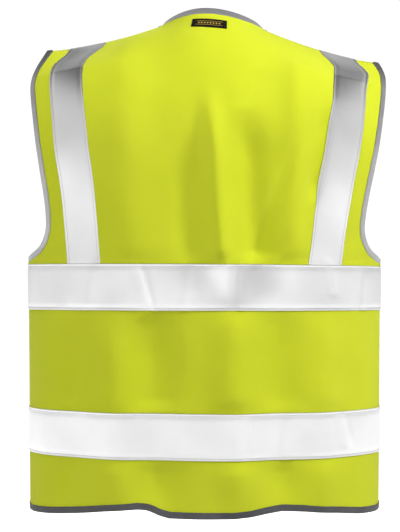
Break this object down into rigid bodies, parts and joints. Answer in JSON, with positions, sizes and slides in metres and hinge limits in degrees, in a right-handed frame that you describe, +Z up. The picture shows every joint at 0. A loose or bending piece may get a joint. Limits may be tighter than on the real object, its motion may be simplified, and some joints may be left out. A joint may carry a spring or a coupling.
{
  "type": "high visibility vest",
  "caption": "Sleeveless fluorescent yellow safety vest with reflective bands and braces, grey bound edges and an open-ended front zip, shown unzipped and hanging as worn.",
  "frame": {"origin": "midway between the neck points of the two shoulder seams, where the shoulders carry the vest", "axes": "+Z up along the wearer, +Y towards the wearer's back, +X towards the wearer's left"},
  "size_m": [0.4862, 0.2681, 0.6751],
  "materials": {
    "yellow_knit": "fluorescent yellow warp-knit polyester, matt",
    "reflective_tape": "silver glass-bead reflective tape, satin",
    "edge_binding": "grey woven edge binding",
    "hem_binding": "charcoal woven hem binding",
    "neck_label": "black woven label with a plain gold ornament",
    "inner_label": "white printed-satin label, blank",
    "zip_tape": "charcoal woven zip tape",
    "zip_plastic": "moulded acetal, satin",
    "zip_metal": "gunmetal-plated die casting"
  },
  "bodies": {
    "back": {"back_panel": "yellow_knit", "chest_band_back": "reflective_tape", "waist_band_back": "reflective_tape", "brace_back_left": "reflective_tape", "brace_back_right": "reflective_tape", "armhole_binding_back_left": "edge_binding", "armhole_binding_back_right": "edge_binding", "neck_binding_back": "edge_binding", "hem_binding_back": "hem_binding", "neck_label": "neck_label", "size_label": "inner_label", "care_label": "inner_label"},
    "front_left": {"front_panel_left": "yellow_knit", "chest_band_front_left": "reflective_tape", "waist_band_front_left": "reflective_tape", "brace_front_left": "reflective_tape", "armhole_binding_front_left": "edge_binding", "neck_binding_front_left": "edge_binding", "hem_binding_front_left": "hem_binding", "zip_tape_left": "zip_tape", "zip_chain_left": "zip_plastic", "zip_top_stop_left": "zip_plastic", "zip_box": "zip_plastic"},
    "front_right": {"front_panel_right": "yellow_knit", "chest_band_front_right": "reflective_tape", "waist_band_front_right": "reflective_tape", "brace_front_right": "reflective_tape", "armhole_binding_front_right": "edge_binding", "neck_binding_front_right": "edge_binding", "hem_binding_front_right": "hem_binding", "zip_tape_right": "zip_tape", "zip_chain_right": "zip_plastic", "zip_top_stop_right": "zip_plastic", "zip_pin": "zip_plastic"},
    "zip_slider": {"zip_slider": "zip_metal"},
    "zip_puller": {"zip_puller": "zip_metal"}
  },
  "joints": [
    {"name": "front_left_open", "type": "hinge", "parent": "back", "child": "front_left", "pos_m": [0.2455, 0, -0.45], "axis": [0, 0, 1], "range_deg": [0, 35]},
    {"name": "front_right_open", "type": "hinge", "parent": "back", "child": "front_right", "pos_m": [-0.2455, 0, -0.45], "axis": [0, 0, -1], "range_deg": [0, 35]},
    {"name": "slider_travel", "type": "slide", "parent": "front_left", "child": "zip_slider", "axis": [0, 0, 1], "range_m": [0, 0.377]},
    {"name": "puller_swing", "type": "hinge", "parent": "zip_slider", "child": "zip_puller", "pos_m": [0.006, -0.1336, -0.6312], "axis": [-1, 0, 0], "range_deg": [0, 170]}
  ]
}
